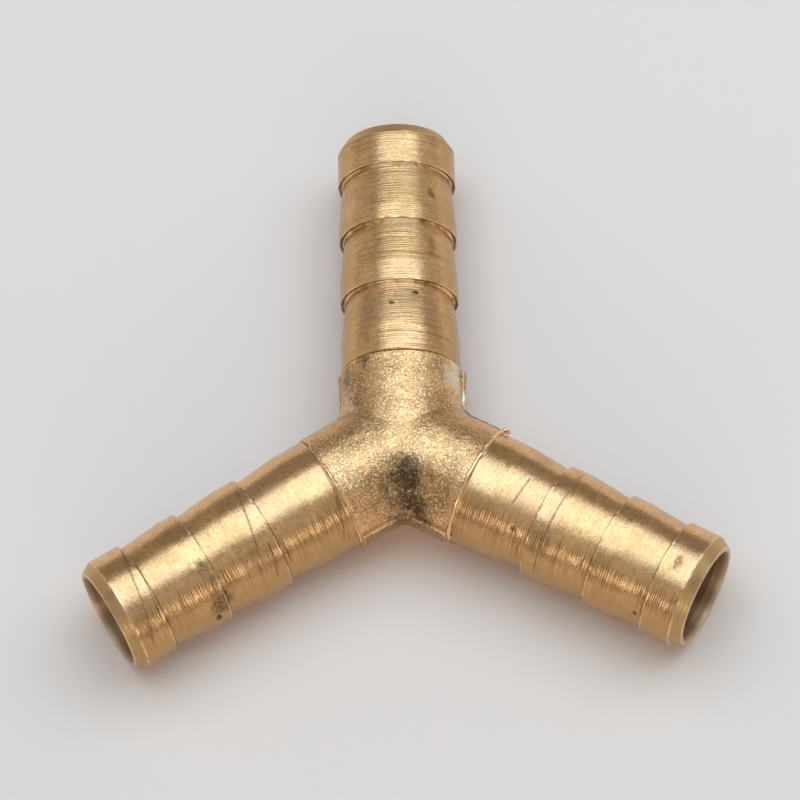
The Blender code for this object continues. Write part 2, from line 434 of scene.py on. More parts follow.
# (distance, degrees, half length along, half width in degrees, strength)
TAIL_STAINS = {
    "back": [(16.8, -20.0, 0.25, 4.0, 0.9), (17.9, 5.0, 0.25, 3.0, 0.9), (17.4, -8.0, 0.8, 16.0, 0.3),
             (18.8, 33.0, 3.0, 10.0, 0.3), (18.8, -36.0, 3.0, 10.0, 0.25), (1.8, 34.0, 0.9, 12.0, 0.2),
             (6.5, -38.0, 0.7, 5.0, 0.6), (12.0, -38.0, 1.2, 5.0, 0.45), (9.9, -5.0, 0.6, 28.0, 0.25)],
    "left": [(8.9, 66.0, 1.1, 15.0, 0.65), (8.3, 84.0, 0.3, 5.0, 1.0), (8.7, 23.0, 0.5, 9.0, 0.6),
             (2.2, 30.0, 1.0, 30.0, 0.2), (13.2, 45.0, 1.3, 14.0, 0.25), (9.2, 40.0, 0.4, 12.0, 0.4)],
    "right": [(2.5, -4.0, 0.5, 8.0, 0.55), (4.5, -75.0, 0.2, 3.0, 0.9), (14.5, -45.0, 1.2, 12.0, 0.35),
              (17.2, -43.0, 0.3, 4.0, 0.6)],
}
print("marks listed for", ", ".join(TAIL_DENTS))

# %% [markdown]
# ## Spinning the section
#
# Spinning is what the lathe does: each point of the section becomes a ring of points round the
# axis. A Screw modifier would do the same, but here every point is moved a little afterwards, so
# the rings are made as arrays. The arrays also say where each point lies: how far from the tip,
# how far round from the top, and whether it is outside. The nose of the back tail is drawn out a
# little, because it is slightly longer on the real piece.

# %% Points of a spun tail
ROUND_STEPS = 192
NOSE_FROM = 26.7 * MM
NOSE_TO = 29.2 * MM
EXTRA_NOSE = {"back": 0.3 * MM, "left": 0.0, "right": 0.0}


class SpunTail:
    """All points of a spun tail, ring after ring, and where each of them lies."""

    def __init__(self, side, seed):
        self.side, self.seed = side, seed
        self.drawn = np.repeat(tail_section[:, 0], ROUND_STEPS)
        self.profile = np.repeat(tail_section[:, 1], ROUND_STEPS)
        self.turn = np.tile(np.arange(ROUND_STEPS) * 2.0 * math.pi / ROUND_STEPS, len(tail_section))
        self.height = self.drawn + EXTRA_NOSE[side] * smooth_step(self.drawn, NOSE_FROM, NOSE_TO)
        self.place = self.pushed_to(self.profile)
        self.outside = ((self.profile > LIP) & (self.height > SHOULDER)).astype(float)
        self.from_tip = TIP - self.height
        self.degrees = np.degrees(angle_between(math.pi / 2.0, self.turn))

    def pushed_to(self, radius):
        """The points when each stands at the given radius."""
        return np.stack([radius * np.cos(self.turn), radius * np.sin(self.turn), self.height], axis=1)

    def rough(self, across, along, shift):
        """Noise over the tail, with lumps of one size across and another along."""
        return grain(self.place, (across, across, along), self.seed + shift)


print("points of a tail:", len(SpunTail("back", 0.0).height))

# %% [markdown]
# ## Cutting the tool marks
#
# Every mark is a small change of radius: waves from the tool, dents and stray lines from the
# lists, nicks along the crests and a ragged fin where the tool stopped against the hub. The rises
# of the barbs look more coarsely cut than the lands, so the waves are deeper there.

# %% Waves, lines and nicks
NICK_DEPTH = 0.09 * MM
JOINT_FIN = {"back": 0.03 * MM, "left": 0.08 * MM, "right": 0.2 * MM}


def rising_barb(spun):
    """1 on the gentle rise behind each step, 0 elsewhere."""
    rising = np.zeros(len(spun.height))
    for place in STEP_PLACES:
        ramp = smooth_step(spun.height, place - BARB_RISE, place - 0.6 * BARB_RISE)
        rising = np.maximum(rising, ramp * (spun.height < place))
    return rising


def tool_waves(spun):
    """How far the tool has lifted the skin, in mm."""
    rising = rising_barb(spun)
    waves = (0.0020 + 0.0030 * rising) * spun.rough(3.0 * MM, 0.16 * MM, 0.0)
    waves = waves + (0.0015 + 0.0020 * rising) * spun.rough(5.0 * MM, 0.42 * MM, 11.3)
    return waves + (0.003 * spun.rough(6.0 * MM, 1.3 * MM, 23.7)
                    + 0.012 * spun.rough(4.0 * MM, 9.0 * MM, 31.1))


def on_line(spun, line):
    """1 in the middle of a stray tool line, fading to its sides and its ends."""
    start, start_degrees, end, end_degrees, width, _ = line
    share = (spun.degrees - start_degrees) / (end_degrees - start_degrees)
    ends = smooth_step(share, -0.05, 0.08) * (1.0 - smooth_step(share, 0.92, 1.05))
    middle = (start + (end - start) * share) * MM
    return np.exp(-((spun.from_tip - middle) / (width * MM)) ** 2) * ends


def crest_nicks(spun):
    """1 where a crest has been knocked against its neighbours, 0 elsewhere."""
    knocked = np.clip(spun.rough(0.35 * MM, 3.0 * MM, 53.0) - 0.25, 0.0, 1.0)
    nicks = np.zeros(len(spun.height))
    for place in STEP_PLACES + (TIP - CHAMFER,):
        near = np.exp(-((spun.height - place) / (0.10 * MM)) ** 2)
        nicks = np.maximum(nicks, near * knocked)
    return nicks


print("deepest nick, mm:", round(NICK_DEPTH / MM, 3))

# %% Radius of every point
def cut_radius(spun):
    """The radius of every point once the marks are cut."""
    radius = spun.profile + spun.outside * tool_waves(spun) * MM
    for place, degrees, size, depth in TAIL_DENTS[spun.side]:
        across = np.radians(spun.degrees - degrees) * CREST
        apart = np.hypot(spun.from_tip - place * MM, across) / (size * MM)
        radius = radius - spun.outside * depth * MM * np.exp(-apart ** 2)
    for line in TAIL_LINES[spun.side]:
        radius = radius - spun.outside * line[-1] * MM * on_line(spun, line)
    radius = radius - spun.outside * NICK_DEPTH * crest_nicks(spun)
    ragged = np.clip(0.6 + 0.6 * spun.rough(0.5 * MM, 3.0 * MM, 61.0), 0.1, 1.3)
    fin = np.exp(-((spun.height - SHOULDER) / (0.08 * MM)) ** 2) * ragged
    return radius + spun.outside * JOINT_FIN[spun.side] * fin


trial = SpunTail("right", 37.0)
print("marks move the skin, mm:", np.round(np.ptp(cut_radius(trial) - trial.profile) / MM, 3))

# %% [markdown]
# ## Marks for the finish
#
# Some marks have no depth worth modelling but change the colour: stains, painted shade in the
# corner under a step and down the sides, painted highlights along the edges, and how strongly the
# rings show. Each is worked out as a value between 0 and about 3 at every point, and the brass
# finish mixes its colours by them. The back tail faces its steps to the viewer, so there the
# painted shade sits on the face of the step and the root gets a painted highlight. The other two
# show their rings mostly on the front flank, where their dull colour is partly painted shade.

# %% Stains, painted shade at the steps and painted highlights on the edges
def stained(spun):
    """The strongest stain at each point, with ragged edges. Stray lines hold dirt too."""
    stain = np.zeros(len(spun.height))
    ragged = 0.35 * grain(spun.place, 0.35 * MM, spun.seed + 41.0)
    for line in TAIL_LINES[spun.side]:
        stain = np.maximum(stain, 0.65 * on_line(spun, line))
    for place, degrees, half_length, half_width, strength in TAIL_STAINS[spun.side]:
        apart = np.hypot((spun.from_tip - place * MM) / (half_length * MM),
                         (spun.degrees - degrees) / half_width)
        stain = np.maximum(stain, strength * (1.0 - smooth_step(apart + ragged, 0.5, 1.25)))
    return stain


def painted_step_shade(spun):
    """Painted shade at each step: darker colour on the step face and into the corner at its root."""
    chipped = np.clip(0.75 + 1.2 * spun.rough(0.9 * MM, 3.0 * MM, 71.0), 0.0, 1.0)
    step_shade = np.zeros(len(spun.height))
    for place, depth in zip(STEP_PLACES, STEP_DEPTHS):
        apart = np.abs(spun.drawn - place)
        if spun.side == "back":
            face = smooth_step(spun.profile, CREST - 0.01 * MM, CREST - 0.04 * MM)
            face = face * smooth_step(spun.profile, CREST - 0.29 * MM, CREST - 0.24 * MM)
            near = 1.0 - smooth_step(apart, 0.15 * MM, 0.34 * MM)
        else:
            face = smooth_step(spun.profile, CREST - 0.15 * depth, CREST - 0.6 * depth)
            near = 1.0 - smooth_step(apart, 0.10 * MM, 0.24 * MM)
        step_shade = np.maximum(step_shade, face * near * chipped)
    return step_shade


def painted_edge_highlights(spun):
    """Painted highlights where edges catch the light: step crests, the chamfer edge, the lip and the back
    tail's roots.
    """
    crest = smooth_step(spun.profile, CREST - 0.06 * MM, CREST - 0.01 * MM)
    edge_highlight = np.zeros(len(spun.height))
    for place in STEP_PLACES:
        # The back tail gets a painted highlight at the root of each step.
        if spun.side == "back":
            near = 1.0 - smooth_step(np.abs(spun.drawn - place), 0.15 * MM, 0.34 * MM)
            root = smooth_step(spun.profile, CREST - 0.27 * MM, CREST - 0.33 * MM)
            edge_highlight = np.maximum(edge_highlight, 0.9 * near * root)
        edge_highlight = np.maximum(edge_highlight, crest * np.exp(-((spun.drawn - place) / (0.08 * MM)) ** 2))
    chamfer_edge = np.exp(-((spun.drawn - TIP + CHAMFER) / (0.07 * MM)) ** 2)
    edge_highlight = np.maximum(edge_highlight, 0.7 * chamfer_edge * spun.outside)
    patchy = np.clip(0.7 + 1.1 * spun.rough(0.6 * MM, 3.0 * MM, 83.0), 0.0, 1.0)
    lip = smooth_step(spun.drawn, TIP - 0.10 * MM, TIP - 0.02 * MM) * (spun.profile > MOUTH - 0.05 * MM)
    return np.maximum(edge_highlight * patchy, 0.5 * lip)


# Share of a tail with a painted edge highlight.
print("share of a tail that is worn bright:", round(float((painted_edge_highlights(trial) > 0.5).mean()), 3))

# %% Strength of the rings and all the marks together
def ring_strength_and_flank_shade(spun):
    """How strongly the tool rings show: all round the back tail, and on the front flank of the others, where
    their stronger dull colour is painted shade.
    """
    if spun.side == "back":
        return np.full(len(spun.height), 1.1)
    to_front = spun.degrees if spun.side == "left" else -spun.degrees
    flank = smooth_step(to_front, 28.0, 42.0) * (1.0 - smooth_step(to_front, 74.0, 86.0))
    return 0.35 + 2.7 * flank


def painted_underside_shade(spun):
    """Painted shade: how far a point has turned down the side, where the brass is darkened."""
    bright_to = 36.0 if spun.side == "back" else 46.0
    return smooth_step(np.abs(spun.degrees), bright_to, bright_to + 32.0) * spun.outside


def tail_marks(spun):
    """Everything that the brass finish asks about a point, by name."""
    inside = (spun.profile < LIP - 0.1 * MM) & (spun.height > SPIGOT_END)
    tip = smooth_step(spun.from_tip, CHAMFER + 0.1 * MM, CHAMFER - 0.1 * MM) * spun.outside
    return {"stain": stained(spun), "inside": inside.astype(float), "rising": rising_barb(spun),
            "tip": tip, "step_shade": painted_step_shade(spun), "edge_highlight": painted_edge_highlights(spun),
            "under": painted_underside_shade(spun), "ring_and_flank_shade": ring_strength_and_flank_shade(spun)}


print("marks on a tail:", ", ".join(tail_marks(trial)))

# %% Three finished tails
def tail_faces():
    """Four-sided faces from each ring to the next, wound so that they look outwards."""
    ring = np.arange(len(tail_section))[:, None]
    step = np.arange(ROUND_STEPS)[None, :]
    next_ring, next_step = (ring + 1) % len(tail_section), (step + 1) % ROUND_STEPS
    faces = np.stack([ring * ROUND_STEPS + step, next_ring * ROUND_STEPS + step,
                      next_ring * ROUND_STEPS + next_step, ring * ROUND_STEPS + next_step], axis=-1)
    return faces.reshape(-1, 4)


def turned_tail(side, seed):
    """One finished tail, laid on its arm."""
    spun = SpunTail(side, seed)
    points = spun.pushed_to(cut_radius(spun))
    tail = mesh_object("barbed_tail_" + side, points, tail_faces(), tail_marks(spun))
    tail.matrix_world = arm_frame(BEARINGS[side])
    return tail


tails = {side: turned_tail(side, 3.0 + 17.0 * index) for index, side in enumerate(BEARINGS)}

# %% [markdown]
# ## The forged hub
#
# The hub is three round arms that run into one another. Each arm is a sheet of points that starts
# on the two upright planes it shares with its neighbours, so the three sheets meet exactly. Every
# point is then pushed out along its own ray to the surface of a soft union of the arms. That
# rounds the hollow creases as the dies do and leaves the tops of the arms round.

# %% Directions round a hub arm
ARM_AXES = [np.array([math.cos(math.radians(b)), math.sin(math.radians(b)), 0.0])
            for b in BEARINGS.values()]
HUB_TURNS = 240
FLASH_HALF = 0.65 * MM
CREASE_BLEND = 1.15 * MM


def crowded_turns(count):
    """Angles round an arm, closer together at mid height where the flash stands out."""
    fine = np.linspace(0.0, 2.0 * math.pi, 20001)
    off_middle = np.abs(angle_between(2.0 * fine, 0.0)) / 2.0
    crowd = 1.0 + 2.2 * np.exp(-((off_middle - 0.12) / 0.06) ** 2)
    total = np.concatenate([[0.0], np.cumsum((crowd[1:] + crowd[:-1]) / 2.0)])
    return np.interp(np.arange(count) / count * total[-1], total, fine)


hub_turns = crowded_turns(HUB_TURNS)
print("closest hub points, degrees:", round(float(np.degrees(np.diff(hub_turns).min())), 2))

# %% The soft union of the arms
def union_distance(points):
    """Distance outside the soft union of three round arms that start at the centre."""
    reaches, ways = [], []
    for axis in ARM_AXES:
        along = np.clip(points @ axis, 0.0, None)[:, None]
        away = points - along * axis
        reach = np.linalg.norm(away, axis=1)
        reaches.append(reach)
        ways.append(away / reach[:, None])
    reaches, ways = np.array(reaches), np.array(ways)
    order = np.argsort(reaches, axis=0)
    pick = np.arange(len(points))
    nearest, second = reaches[order[0], pick], reaches[order[1], pick]
    agree = np.sum(ways[order[0], pick] * ways[order[1], pick], axis=1)
    hollow = np.clip(2.0 * (1.0 - agree), 0.0, 1.0)
    blend = np.clip(CREASE_BLEND - (second - nearest), 0.0, None) / CREASE_BLEND
    return nearest - blend ** 2 * CREASE_BLEND / 4.0 * hollow - HUB_ROUND


def arm_sheet(rows, radius, end):
    """Start points and directions for one arm. Row 0 follows the mitre, the last is a plain ring."""
    share = np.repeat(rows, HUB_TURNS)
    turn = np.tile(hub_turns, len(rows))
    mitre = radius * np.abs(np.cos(turn)) / math.tan(math.radians(60.0))
    start = np.stack([np.zeros(len(share)), np.zeros(len(share)), end * share], axis=1)
    target = np.stack([radius * np.cos(turn), radius * np.sin(turn), mitre + (end - mitre) * share],
                      axis=1)
    way = target - start
    return start, way / np.linalg.norm(way, axis=1)[:, None]


HUB_ROWS = np.linspace(0.0, 1.0, 76)
print("rows along a hub arm:", len(HUB_ROWS))

# %% [markdown]
# ## Flash, grain and knocks on the hub
#
# Where the two dies meet, a thin fin of brass squeezes out all round at mid height. It is trimmed
# off, but a ridge about 1.3 mm thick stays. The skin of the forging is uneven and shot blasted,
# so it has lumps at several sizes. A few gouges and a dark stain in the front crotch finish it.

# %% Shape of the flash ridge
FLASH_PROUD = 0.33 * MM
CROTCH_BLEND = 0.8 * MM
BACK_LEFT_TRIM = 0.2 * MM


def flash_reach(points):
    """How far outside the trimmed edge of the flash each point lies, seen from above."""
    width = HUB_ROUND + FLASH_PROUD
    best = np.full(len(points), 1e9)
    second = np.full(len(points), 1e9)
    for axis in ARM_AXES:
        along = np.clip(points @ axis, 0.0, None)[:, None]
        flat = points * np.array([1.0, 1.0, 0.0])
        away = np.linalg.norm(flat - along * axis, axis=1) - width
        second = np.minimum(second, np.maximum(best, away))
        best = np.minimum(best, away)
    blend = np.clip(CROTCH_BLEND - (second - best), 0.0, None) / CROTCH_BLEND
    return best - blend ** 2 * CROTCH_BLEND / 4.0


FRONT_CROTCH = 6.89 * MM
probe = np.array([[0.0, -FRONT_CROTCH, 0.0]])
print("front crotch lies, mm from the flash edge:", round(float(flash_reach(probe)[0] / MM), 2))

# %% [markdown]
# ## Where the hub is marked
#
# The knocks and stains of the hub are listed as points in the frame of the fitting. The wide,
# soft areas are painted shade: they darken the hollows and creases between the arms. The pale
# patch is where a scrape has bared rough metal.

# %% Gouges and stains of the hub
# (x, y, z, radius, depth) of dents in mm
HUB_DENTS = [
    (-3.8, 3.3, 3.9, 0.35, 0.10), (-4.5, 2.9, 3.1, 0.4, 0.12), (-3.1, 3.9, 4.5, 0.25, 0.07),
    (-4.1, 2.2, 3.4, 0.3, 0.08), (5.0, 5.6, 2.3, 0.5, 0.10), (4.9, 6.9, 2.4, 0.4, 0.07),
    (0.5, -4.7, 3.9, 0.4, 0.08), (0.6, -5.9, 2.6, 0.45, 0.08), (1.3, -6.6, 1.9, 0.4, 0.08),
    (2.5, -4.6, 4.7, 0.3, 0.05), (-2.4, -1.6, 5.2, 0.3, 0.04), (-0.6, 5.3, 5.3, 0.25, 0.05),
]
# (x, y, z, size, strength) of stains in mm
HUB_STAINS = [
    (0.1, -3.5, 4.7, 1.3, 0.85), (0.4, -4.6, 3.9, 1.9, 1.0), (0.6, -5.9, 2.6, 1.8, 1.0),
    (1.2, -6.6, 1.9, 0.9, 1.0), (1.6, -7.1, 0.9, 0.8, 0.7), (-0.7, -5.9, 2.7, 1.2, 0.7),
    (-0.9, -4.6, 4.2, 1.1, 0.45), (0.0, -6.6, 0.6, 1.3, 0.6), (2.5, -4.6, 4.7, 0.9, 0.4),
    (-3.1, 7.1, 4.5, 0.7, 0.8), (-4.8, 6.3, 2.6, 1.1, 0.5), (-3.8, 3.3, 3.9, 0.8, 0.45),
    (-4.4, -0.2, 5.1, 0.5, 0.4), (5.1, -5.7, 4.9, 0.5, 0.3),
]
# (x, y, z, size, strength) of the rough pale patch in mm
HUB_PALE = [(4.9, 5.6, 2.3, 1.4, 1.0), (4.9, 7.1, 2.4, 1.1, 0.9), (5.4, 4.5, 0.9, 1.1, 0.9),
            (-4.3, 2.9, 3.2, 0.7, 0.5)]
# (x, y, z, size, strength) of wide areas of painted shade in mm
HUB_HOLLOW_SHADE = [(-4.3, 5.2, 3.4, 2.4, 0.8), (-3.9, 2.2, 4.0, 1.8, 0.6), (0.4, -4.6, 4.0, 2.6, 0.8),
             (0.5, -6.4, 2.2, 2.6, 0.7), (3.6, 2.6, 4.0, 1.8, 0.6), (4.4, -3.4, 4.6, 1.3, 0.5),
             (3.4, 6.4, 4.2, 1.2, 0.5), (2.9, -6.4, 3.0, 1.8, 0.7), (-2.3, -4.9, 3.2, 2.2, 0.75)]


def spots(points, listed, seed, ragged=0.35):
    """The strongest of the listed round spots at each point, with ragged edges."""
    found = np.zeros(len(points))
    edge = ragged * (grain(points, 0.6 * MM, seed) + 0.9 * grain(points, 0.22 * MM, seed + 5.0))
    for x, y, z, size, strength in listed:
        apart = np.linalg.norm(points - np.array([x, y, z]) * MM, axis=1) / (size * MM)
        found = np.maximum(found, strength * (1.0 - smooth_step(apart + edge, 0.2, 1.3)))
    return found


print("hub marks:", len(HUB_DENTS), "dents,", len(HUB_STAINS), "stains")

# %% [markdown]
# ## Pushing out the skin of the hub
#
# The surface of the soft union has no formula, so each ray finds it by halving: the middle of the
# gap is tested, and the half that holds the surface is kept. Forty halvings are far finer than
# any mark. Lumps, gouges and the flash are then added along the same ray, so points keep their order.

# %% Finding the surface along a ray
HALVINGS = 40


def reach_of_union(start, way):
    """How far along each ray the soft union of the arms ends."""
    low, high = np.full(len(start), 0.5 * HUB_ROUND), np.full(len(start), 2.0 * HUB_ROUND)
    for _ in range(HALVINGS):
        middle = (low + high) / 2.0
        outside = union_distance(start + way * middle[:, None]) > 0.0
        high = np.where(outside, middle, high)
        low = np.where(outside, low, middle)
    return (low + high) / 2.0


upward_ray = np.array([[0.0, 0.0, 1.0]])
print("hub height over its centre, mm:",
      round(float(reach_of_union(upward_ray * 0.0, upward_ray)[0] / MM), 2))

# %% Lumps, gouges and flash
def hub_lumps(points):
    """Height of the blasted skin over the clean shape, in mm, with the gouges in it."""
    lumps = 0.05 * grain(points, 2.6 * MM, 3.0) + 0.03 * grain(points, 1.1 * MM, 9.0)
    lumps += 0.012 * grain(points, 0.5 * MM, 15.0) + 0.008 * grain(points, 0.24 * MM, 21.0)
    for x, y, z, size, deep in HUB_DENTS:
        apart = np.linalg.norm(points - np.array([x, y, z]) * MM, axis=1) / (size * MM)
        lumps -= deep * np.exp(-apart ** 2)
    return lumps


def flash_band(points):
    """1 in the uneven band at mid height where the flash stands, 0 above and below it."""
    edge_wave = 0.12 * grain(points * np.array([1.0, 1.0, 0.0]), 1.6 * MM, 43.0)
    level = np.abs(points[:, 2]) + edge_wave * MM * 0.5
    return 1.0 - smooth_step(level, FLASH_HALF - 0.10 * MM, FLASH_HALF + 0.12 * MM)


def flash_growth(points, way, band, to_end):
    """How far the flash stands out along each ray. It is trimmed shorter at the back left."""
    flat = points * np.array([1.0, 1.0, 0.0])
    ragged = 0.05 * grain(flat, 0.8 * MM, 33.0) + 0.03 * grain(flat, 0.3 * MM, 37.0)
    back_left = smooth_step(points @ np.array([-0.866, 0.5, 0.0]), 2.0 * MM, 4.5 * MM)
    short = np.clip(-flash_reach(points) - BACK_LEFT_TRIM * back_left, -0.2 * MM, 1.6 * MM)
    grow = band * np.clip(short + ragged * MM, 0.0, None)
    grow = grow * smooth_step(to_end, 0.1 * MM, 0.25 * MM)
    upright = np.clip(np.sqrt(np.clip(1.0 - way[:, 2] ** 2, 0.05, 1.0)), 0.3, 1.0)
    return grow / upright


print("lump over the front crotch, mm:", round(float(hub_lumps(probe)[0]), 3))

# %% Skin of one hub arm
RIM_BEVEL = 0.12 * MM


def hub_skin(side):
    """The outside of one hub arm as points in the frame of the whole fitting, and its marks."""
    start, way = arm_sheet(HUB_ROWS, HUB_ROUND, HUB_END)
    turn_in = np.array(arm_frame(BEARINGS[side]).to_3x3())
    start, way = start @ turn_in.T, way @ turn_in.T
    depth = reach_of_union(start, way)
    points = start + way * depth[:, None]
    to_end = HUB_END - np.sum(points * ARM_AXES[list(BEARINGS).index(side)], axis=1)
    rim = 1.0 - smooth_step(to_end, 0.0, 0.14 * MM)
    band = flash_band(points)
    grow = flash_growth(points, way, band, to_end)
    depth = depth + (1.0 - 0.7 * rim) * hub_lumps(points) * MM + grow - RIM_BEVEL * rim ** 2
    points = start + way * depth[:, None]
    marks = {
        "stain": spots(points, HUB_STAINS, 3.0),
        "pale": spots(points, HUB_PALE, 8.0, 0.6),
        "hollow_shade": spots(points, HUB_HOLLOW_SHADE, 14.0, 0.3),
        "flash": band * smooth_step(to_end, 0.1 * MM, 0.5 * MM),
    }
    return points, marks


test_points, _ = hub_skin("back")
print("hub skin spans, mm:", np.round((test_points.max(0) - test_points.min(0)) / MM, 2))

# %% [markdown]
# ## The inside of the hub
#
# Each arm of the hub is hollow: a socket takes the spigot of the tail, and a narrower bore goes on
# to the middle. None of it shows, but the piece is a closed body, so it needs an inside. The three
# bores meet on the same upright planes as the skins do. Points that fall together there are welded,
# and the count of open edges says whether the weld has closed the body.

# %% Inside of the hub
RIM_INNER = 5.0 * MM
SOCKET = 4.8 * MM
SOCKET_MIDDLE = 6.2 * MM
SOCKET_FLOOR = 4.8 * MM
FLOOR_MIDDLE = 4.4 * MM


def hub_inside(side):
    """Rings from the rim inwards: end face, socket, socket floor, bore, ending on the mitre."""
    turn_in = np.array(arm_frame(BEARINGS[side]).to_3x3())
    rings = []
    for radius, height in ((RIM_INNER, HUB_END), (SOCKET, HUB_END), (SOCKET, SOCKET_MIDDLE),
                           (SOCKET, SOCKET_FLOOR), (FLOOR_MIDDLE, SOCKET_FLOOR), (BORE, SOCKET_FLOOR)):
        rings.append(np.stack([radius * np.cos(hub_turns), radius * np.sin(hub_turns),
                               np.full(HUB_TURNS, height)], axis=1))
    mitre = BORE * np.abs(np.cos(hub_turns)) / math.tan(math.radians(60.0))
    for share in (0.75, 0.5, 0.25, 0.0):
        rings.append(np.stack([BORE * np.cos(hub_turns), BORE * np.sin(hub_turns),
                               mitre + (SOCKET_FLOOR - mitre) * share], axis=1))
    return np.concatenate(rings) @ turn_in.T, len(rings)


print("rings inside a hub arm:", hub_inside("back")[1])

# %% Putting the hub together
WELD_DISTANCE = 0.001 * MM


def forged_hub():
    """Three skins with their insides, joined where the arms meet."""
    all_points, all_faces, all_marks, count = [], [], {}, 0
    for side in BEARINGS:
        skin, marks = hub_skin(side)
        inside, inside_rings = hub_inside(side)
        points = np.concatenate([skin, inside])
        rings = len(HUB_ROWS) + inside_rings
        ring = np.arange(rings - 1)[:, None]
        step = np.arange(HUB_TURNS)[None, :]
        after = (step + 1) % HUB_TURNS
        faces = np.stack([ring * HUB_TURNS + step, ring * HUB_TURNS + after,
                          (ring + 1) * HUB_TURNS + after, (ring + 1) * HUB_TURNS + step], axis=-1)
        all_faces.append(faces.reshape(-1, 4) + count)
        all_points.append(points)
        count += len(points)
        for mark, values in marks.items():
            padded = np.concatenate([values, np.zeros(len(inside))])
            all_marks.setdefault(mark, []).append(padded)
    marks = {mark: np.concatenate(values) for mark, values in all_marks.items()}
    hub = mesh_object("forged_hub", np.concatenate(all_points), np.concatenate(all_faces), marks)
    work = bmesh.new()
    work.from_mesh(hub.data)
    bmesh.ops.remove_doubles(work, verts=work.verts, dist=WELD_DISTANCE)
    bmesh.ops.recalc_face_normals(work, faces=work.faces)
    work.to_mesh(hub.data)
    open_edges = sum(1 for edge in work.edges if not edge.is_manifold)
    work.free()
    print("open or doubled edges in the hub:", open_edges)
    return hub


hub = forged_hub()

# %% [markdown]
# ## Burrs left at two joints
#
# Where the tool stopped against the hub it pushed up a thin bright thread of brass. On the right
# arm it is thick: it starts low in front, runs over the top and ends in a small hook at the back.
# On the left arm it is only a hair, from just behind the top down the front. A curve with a bevel
# would be even all along, so each is swept as a tube whose thickness wanders.

# %% Sweeping a thread of brass
BURR_SIDES = 10


def swept_thread(name, path, thickness):
    """A closed tube that follows a path of points. Thickness is its radius at each point."""
    path = np.array(path)
    along = np.gradient(path, axis=0)
    along = along / np.linalg.norm(along, axis=1)[:, None]
    out = path - (path @ along.T).diagonal()[:, None] * along
    out = out / np.linalg.norm(out, axis=1)[:, None]
    across = np.cross(along, out)
    turn = np.arange(BURR_SIDES) * 2.0 * math.pi / BURR_SIDES
    points = (path[:, None] + thickness[:, None, None]
              * (out[:, None] * np.cos(turn)[None, :, None] + across[:, None] * np.sin(turn)[None, :, None]))
    ring = np.arange(len(path) - 1)[:, None]
    step = np.arange(BURR_SIDES)[None, :]
    after = (step + 1) % BURR_SIDES
    faces = np.stack([ring * BURR_SIDES + step, ring * BURR_SIDES + after,
                      (ring + 1) * BURR_SIDES + after, (ring + 1) * BURR_SIDES + step], axis=-1)
    # The whole thread gets a painted highlight.
    bright = {"edge_highlight": np.full(len(path) * BURR_SIDES, 0.7)}
    thread = mesh_object(name, points.reshape(-1, 3), faces.reshape(-1, 4), bright)
    work = bmesh.new()
    work.from_mesh(thread.data)
    bmesh.ops.holes_fill(work, edges=work.edges)
    bmesh.ops.recalc_face_normals(work, faces=work.faces)
    work.to_mesh(thread.data)
    work.free()
    return thread


def joint_burr(side, first, last, radius, hook, width):
    """A thread round the joint of one arm, between two angles from the top, with a hooked end."""
    degrees = np.arange(first, last, 1.2)
    turn = np.radians(90.0 - degrees)
    wobble = grain(np.stack([degrees, degrees * 0.0, degrees * 0.0], axis=1), 7.0, 3.3)
    away = radius + 0.05 * MM * wobble
    height = HUB_END + 0.03 * MM + 0.05 * MM * np.roll(wobble, 9)
    path = np.stack([away * np.cos(turn), away * np.sin(turn), height], axis=1)
    curl = np.linspace(0.0, 1.0, 22)[1:]
    swing = np.radians(90.0 - last - 5.0 * curl)
    lift = radius + hook * np.sin(curl * 3.6)
    side_step = HUB_END + hook * (1.0 - np.cos(curl * 3.6))
    tail_end = np.stack([lift * np.cos(swing), lift * np.sin(swing), side_step], axis=1)
    path = np.concatenate([path, tail_end])
    ends = np.clip(np.minimum(np.arange(len(path)), np.arange(len(path))[::-1]) / 4.0, 0.15, 1.0)
    rough = 1.0 + 0.5 * np.interp(np.arange(len(path)), np.arange(len(wobble)), np.roll(wobble, 21))
    thick = width + 0.2 * hook * smooth_step(np.arange(len(path)), len(path) - 30, len(path) - 14)
    burr = swept_thread("joint_burr_" + side, path, thick * ends * rough)
    burr.matrix_world = arm_frame(BEARINGS[side])
    return burr


burrs = [joint_burr("right", -95.0, 61.0, 5.50 * MM, 0.22 * MM, 0.18 * MM),
         joint_burr("left", -34.0, 86.0, 5.41 * MM, 0.03 * MM, 0.075 * MM)]

# %% [markdown]
# ## Brass
#
# Both finishes are bare brass, so both are fully metallic and differ in how the skin scatters
# light. Turned brass is bright, and its rings spread a highlight along the tail much more than
# round it. That is what the anisotropic setting does, with the tangent taken round the axis and
# turned a quarter. Forged and blasted brass is duller, browner and blotchy. Both are mixed from
# noise over the piece's own coordinates, so nothing slides when the view changes. Noise textures
# and mixes are used again and again, so a few helpers come first.

# %% Node helpers
def add_node(tree, kind, **inputs):
    """Add a shader node and set the inputs that are named, with underscores for spaces."""
    node = tree.nodes.new("ShaderNode" + kind)
    for name, value in inputs.items():
        node.inputs[name.replace("_", " ")].default_value = value
    return node


def noise(tree, scale, stretch=(1.0, 1.0, 1.0), detail=3.0, roughness=0.55):
    """Noise over the piece's own coordinates, in lumps per metre, stretched along its axes."""
    place = tree.nodes.new("ShaderNodeTexCoord")
    mapping = add_node(tree, "Mapping", Scale=stretch)
    texture = add_node(tree, "TexNoise", Scale=scale, Detail=detail, Roughness=roughness)
    tree.links.new(place.outputs["Object"], mapping.inputs["Vector"])
    tree.links.new(mapping.outputs["Vector"], texture.inputs["Vector"])
    return texture.outputs["Fac"]


